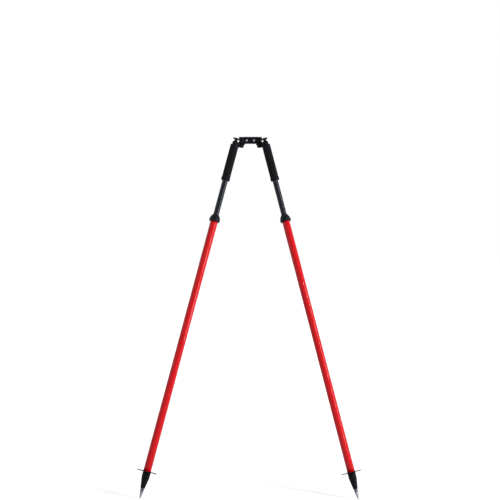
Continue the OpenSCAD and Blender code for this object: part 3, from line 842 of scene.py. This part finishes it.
def brass_inside():
    """Brass of the pieces that stay inside the leg."""
    material, shader, spot = new_finish("brass_inside", False)
    stain = spot.grain(260, 4)
    stain.tint((0.52, 0.37, 0.14, 1), (0.66, 0.50, 0.21, 1)).feed(shader, "Base Color")
    (0.28 + 0.25 * stain).feed(shader, "Roughness")
    shader.inputs["Metallic"].default_value = 1
    return material


def milky_nylon():
    """Natural nylon: off white, slightly waxy."""
    material, shader, spot = new_finish("milky_nylon", False)
    cloud = spot.grain(220)
    cloud.tint((0.62, 0.61, 0.56, 1), (0.74, 0.73, 0.69, 1)).feed(shader, "Base Color")
    (0.4 + 0.15 * cloud).feed(shader, "Roughness")
    cloud.feed_bump(shader, 0.08, 0.05 * mm)
    return material


inside_finish = {"release_rod": brushed_aluminium(), "spring_seat": brass_inside(), "shoe_a": milky_nylon()}
inside_finish["clutch_body"] = inside_finish["spring_seat"]
inside_finish["clutch_cone"] = inside_finish["spring_seat"]
inside_finish["shoe_b"] = inside_finish["shoe_a"]
for side in ("left", "right"):
    for part, finish in inside_finish.items():
        inside = frame["nodes"][side + "_" + part]
        inside.data.materials.clear()
        inside.data.materials.append(finish)

spring_low, spring_high, spring_r = along_leg("return_spring")
wire_r = 0.7 * mm
wire_sides = 12
spring_turns = 9
turn_steps = 32
wire_smooth = math.radians(40)
spring_len = spring_high - spring_low
nothing_selected()
bpy.ops.mesh.primitive_circle_add(vertices=wire_sides, radius=wire_r, fill_type="NOTHING",
                                  location=(spring_r - wire_r, 0, spring_low + wire_r),
                                  rotation=(math.radians(90), 0, 0))
settle()
spring = bpy.context.object
winding = spring.modifiers.new("winding", "SCREW")
winding.axis = "Z"
winding.angle = 2 * math.pi
winding.iterations = spring_turns
winding.screw_offset = (spring_len - 2 * wire_r) / spring_turns
winding.steps = turn_steps
winding.render_steps = turn_steps
bpy.ops.object.modifier_apply(modifier="winding")
bpy.ops.object.mode_set(mode="EDIT")
bpy.ops.mesh.select_all(action="SELECT")
bpy.ops.mesh.remove_doubles(threshold=fine_weld)
bpy.ops.mesh.fill_holes(sides=wire_sides)
bpy.ops.mesh.normals_make_consistent(inside=False)
bpy.ops.object.mode_set(mode="OBJECT")
bpy.ops.object.shade_smooth_by_angle(angle=wire_smooth)
set_down(spring, on_leg)
both_sides(spring, "return_spring", screw_steel, "upper_leg", "bright_steel", "return_spring")
for side, sign in (("left", -1), ("right", 1)):
    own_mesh(bpy.data.objects["return_spring_" + side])

# Outer tubes
# Aluminium tube painted gloss red, sliding on the inner tube. Paint has gone a
# little dull and scuffed towards the foot, where soil and boots reach.
tube_low, tube_high, tube_r = along_leg("outer_tube")
tube_wall = 1.6 * mm
tube_bore = tube_r - tube_wall
scuffed_len = 160 * mm
rivet_r = 2 * mm
rivet_up = 22 * mm
rivet_turn = math.radians(-45)
rivet_reach = Vector((0, 2 * tube_r, 0))
at_rivet = Matrix.Translation((0, 0, tube_low + rivet_up)) @ Matrix.Rotation(rivet_turn, 4, "Z")


def gloss_red_paint():
    """Red gloss enamel under a clear top coat: a trace of orange peel, and scuffs near the foot."""
    material, shader, spot = new_finish("gloss_red_paint")
    peel = spot.grain(420, 2)
    cloud = spot.grain(14)
    height = spot.node("ShaderNodeSeparateXYZ", {}, {"Vector": spot}, 2)
    near_foot = 1 - height.between(tube_low, tube_low + scuffed_len)
    scratch = spot.grain(1100, 4, (1, 1, 0.09)).between(0.66, 0.74)
    scuff = scratch * (0.03 + 0.5 * near_foot) * cloud.between(0.42, 0.62)
    red = cloud.tint((0.68, 0.0, 0.005, 1), (0.76, 0.001, 0.007, 1))
    scuff.tint(red, (0.40, 0.01, 0.012, 1)).feed(shader, "Base Color")
    (0.22 + 0.08 * cloud + 0.25 * scuff).feed(shader, "Roughness")
    (0.95 - 0.5 * scuff).feed(shader, "Coat Weight")
    peel.feed_bump(shader, 0.012, 0.1 * mm)
    shader.inputs["Specular IOR Level"].default_value = 0.03
    shader.inputs["Coat Roughness"].default_value = 0.08
    shader.inputs["Coat IOR"].default_value = 1.26
    return material


paint_red = gloss_red_paint()
outer_tube = ring(tube_bore, tube_r, tube_low, tube_high, 128)
soften(outer_tube, 0.3 * mm, 2)
carve(outer_tube, round_bar(rivet_r + seat, at_rivet @ -rivet_reach, at_rivet @ rivet_reach, 32))
take_up(outer_tube)
bpy.ops.object.shade_smooth_by_angle(angle=smooth_angle)
set_down(outer_tube, on_leg)
both_sides(outer_tube, "outer_tube", paint_red, "lower_leg", "red_paint", "outer_tube")

# Guide collars
# A bell of black moulded plastic glued over the top of each outer tube. Its
# narrow neck guides the inner tube.
guide_low, guide_high, guide_r = along_leg("guide_collar")
guide_lip = 9 * mm
lip_top = guide_low + guide_lip
guide_socket = 14 * mm
guide_stop = guide_low + guide_socket
guide_neck = 1 * mm
guide_bulge = 1 * mm
guide_neck_r = inner_r + guide_neck
guide_mid = ((guide_r + guide_neck_r) / 2 + guide_bulge, (lip_top + guide_high) / 2)
guide_bore = inner_r + run
guide_seat = tube_r + seat
guide = turned([(guide_bore, guide_high), (guide_neck_r, guide_high), guide_mid, (guide_r, lip_top),
                (guide_r, guide_low), (guide_seat, guide_low), (guide_seat, guide_stop),
                (guide_bore, guide_stop), (guide_bore, guide_high)])
soften(guide, 1.2 * mm, 5, 12)
set_down(guide, on_leg)
both_sides(guide, "guide_collar", plastic_black, "lower_leg", "black_plastic", "guide_collar")

# Step plates
# A round plate of black coated steel pinched between tube and foot, on which a
# boot treads the point into the ground. Its rim is rounded and its top scuffed.
plate_low, plate_high, plate_r = along_leg("step_plate")


def trodden_plate():
    """Black coated sheet steel: dull, with scratches from boots down to the grey metal."""
    material, shader, spot = new_finish("trodden_plate")
    haze = spot.grain(60, 4)
    scratch = spot.grain(700, 3, (1, 0.06, 1)).between(0.64, 0.72) * haze.between(0.45, 0.6)
    black = haze.tint((0.006, 0.0065, 0.008, 1), (0.013, 0.0135, 0.016, 1))
    scratch.tint(black, (0.16, 0.165, 0.17, 1)).feed(shader, "Base Color")
    (0.6 + 0.22 * haze - 0.1 * scratch).feed(shader, "Roughness")
    scratch.feed(shader, "Metallic")
    (haze - 0.4 * scratch).feed_bump(shader, 0.12, 0.08 * mm)
    shader.inputs["Specular IOR Level"].default_value = 0.03
    return material


plate_black = trodden_plate()
plate = ring(tube_bore, plate_r, plate_low, plate_high, 160)
soften(plate, 0.9 * mm, 4)
set_down(plate, on_leg)
both_sides(plate, "step_plate", plate_black, "lower_leg", "dark_steel", "step_plate")

# Feet and rivets
# A black painted casting plugs the bottom of each tube, tapers below the plate
# and is held by one blackened steel rivet across the tube.
foot_low, foot_high, foot_r = along_leg("foot")
foot_flat = 17 * mm
foot_low_r = 7.2 * mm
foot = turned([(0, foot_low), (foot_low_r, foot_low), (foot_r, plate_low - foot_flat), (foot_r, plate_low),
               (tube_bore - seat, plate_low), (tube_bore - seat, foot_high), (0, foot_high)])
soften(foot, 0.7 * mm)
set_down(foot, on_leg)
both_sides(foot, "foot", casting_black, "lower_leg", "black_casting", "foot")

rivet = plug(rivet_r, -tube_r, tube_r, 32)
soften(rivet, 0.35 * mm)
set_down(rivet, on_leg @ at_rivet @ Matrix.Rotation(math.radians(90), 4, "X"))
both_sides(rivet, "foot_rivet", steel_black, "lower_leg", "dark_steel", "foot_rivet")

# Steel points
# Hardened steel turned to a blunt point, with a shank fixed in the foot.
# Tool rings show on it, and the end is stained by soil.
tip_low, shank_top, point_r = along_leg("steel_point")
tip_r = 0.6 * mm
point_flat = 13 * mm
shank_r = 3.5 * mm
soil_len = 20 * mm
# Limits of a band of painted shade just under the foot.
shade_band_low = foot_low - 12 * mm
shade_band_high = foot_low - 8 * mm


def turned_point_steel():
    """Turned steel with tool rings round it, stained darker at the end by soil, with painted shade in a band just
    under the foot.
    """
    material, shader, spot = new_finish("turned_point_steel")
    stain = spot.grain(300, 4)
    rings = spot.grain(1500, 2, (0.05, 0.05, 1))
    height = spot.node("ShaderNodeSeparateXYZ", {}, {"Vector": spot}, 2)
    soil = (1 - height.between(tip_low, tip_low + soil_len)) * stain.between(0.4, 0.65)
    # Painted shade: the top of the point, just under the foot, turns near black.
    painted_shade_under_foot = height.between(shade_band_low, shade_band_high)
    steel = stain.tint((0.20, 0.215, 0.25, 1), (0.28, 0.30, 0.34, 1))
    stained = soil.tint(steel, (0.13, 0.13, 0.13, 1))
    painted_shade_under_foot.tint(stained, (0.07, 0.075, 0.088, 1)).feed(shader, "Base Color")
    (0.36 + 0.14 * stain + 0.25 * soil).feed(shader, "Roughness")
    rings.feed_bump(shader, 0.18, 0.06 * mm)
    shader.inputs["Metallic"].default_value = 1
    return material


point_steel = turned_point_steel()
point = turned([(0, tip_low), (tip_r, tip_low), (point_r, foot_low - point_flat), (point_r, foot_low),
                (shank_r, foot_low), (shank_r, shank_top), (0, shank_top)], 64)
soften(point, 0.35 * mm, 3)
set_down(point, on_leg)
both_sides(point, "steel_point", point_steel, "lower_leg", "plated_steel", "steel_point")

# Floor
# A plain pale floor under the two points. It shows white to the camera and
# still takes the shadow of the legs.
floor_size = 14
floor_z = cad_box[0].z
near_glow = 0.62
far_glow_more = 0.3
fade_from = 0.6
fade_to = 2.4
nothing_selected()
bpy.ops.mesh.primitive_plane_add(size=floor_size, location=(0, 0, floor_z))
floor = bpy.context.object
floor.name = "floor"
floor_material, floor_shader, floor_spot = new_finish("pale_floor", False)
floor_spot.grain(3).tint((0.80, 0.80, 0.80, 1), (0.84, 0.84, 0.84, 1)).feed(floor_shader, "Base Color")
floor_shader.inputs["Roughness"].default_value = 0.9
floor_shader.inputs["Specular IOR Level"].default_value = 0
tree = floor_material.node_tree


def seen_white(tree):
    """1 for rays that show a background: straight ones, and those by way of metal or glass."""
    paths = tree.nodes.new("ShaderNodeLightPath")
    straight, mirrored, through = [Socket(tree, paths.outputs[name]) for name in
                                   ("Is Camera Ray", "Is Glossy Ray", "Is Transmission Ray")]
    return straight + mirrored + through


seen = seen_white(tree)
off_centre = floor_spot.node("ShaderNodeVectorMath", {"operation": "LENGTH"}, {0: floor_spot}, 1)
far_off = off_centre.between(fade_from, fade_to)
(seen * (near_glow + far_glow_more * far_off)).feed(floor_shader, "Emission Color")
floor_shader.inputs["Emission Strength"].default_value = 1
floor.data.materials.append(floor_material)

# Studio
# A white surround, one tall soft lamp in front on the right, weaker ones on the
# left and behind, and a camera as far off and as high as the picture was taken from.
room_light = 0.24
scene = bpy.context.scene
scene.view_settings.view_transform = "Standard"
world = bpy.data.worlds.new("white_studio")
scene.world = world
world.use_nodes = True
tree = world.node_tree
seen = seen_white(tree)
room = seen.node("ShaderNodeBackground", {}, {"Color": (1, 1, 1, 1), "Strength": room_light})
backdrop = seen.node("ShaderNodeBackground", {}, {"Color": (1, 1, 1, 1), "Strength": 1})
surround = seen.node("ShaderNodeMixShader", {}, {0: seen, 1: room, 2: backdrop})
tree.links.new(surround.output, tree.nodes["World Output"].inputs["Surface"])

leg_middle = Vector((0, -0.2, -0.55))
for name, place, width, height, power in (("tall_lamp", (4.75, -2.95, 1.25), 0.7, 4.2, 300),
                                          ("fill_lamp", (-2.6, -0.4, 0.3), 0.8, 1.8, 8),
                                          ("back_lamp", (0.4, 3.0, 0.9), 1.6, 1.8, 16)):
    lamp = bpy.data.lights.new(name, "AREA")
    lamp.shape = "RECTANGLE"
    lamp.size = width
    lamp.size_y = height
    lamp.energy = power
    stand = bpy.data.objects.new(name, lamp)
    stand.location = place
    stand.rotation_euler = (leg_middle - Vector(place)).to_track_quat("-Z", "Y").to_euler()
    scene.collection.objects.link(stand)

camera = bpy.data.cameras.new("camera")
camera.lens = 97.4
camera.sensor_width = 36
camera_stand = bpy.data.objects.new("camera", camera)
camera_stand.location = (0.0694, -4.6143, 0.0472)
camera_stand.rotation_euler = (math.radians(84.778), 0, math.radians(0.885))
scene.collection.objects.link(camera_stand)
scene.camera = camera_stand
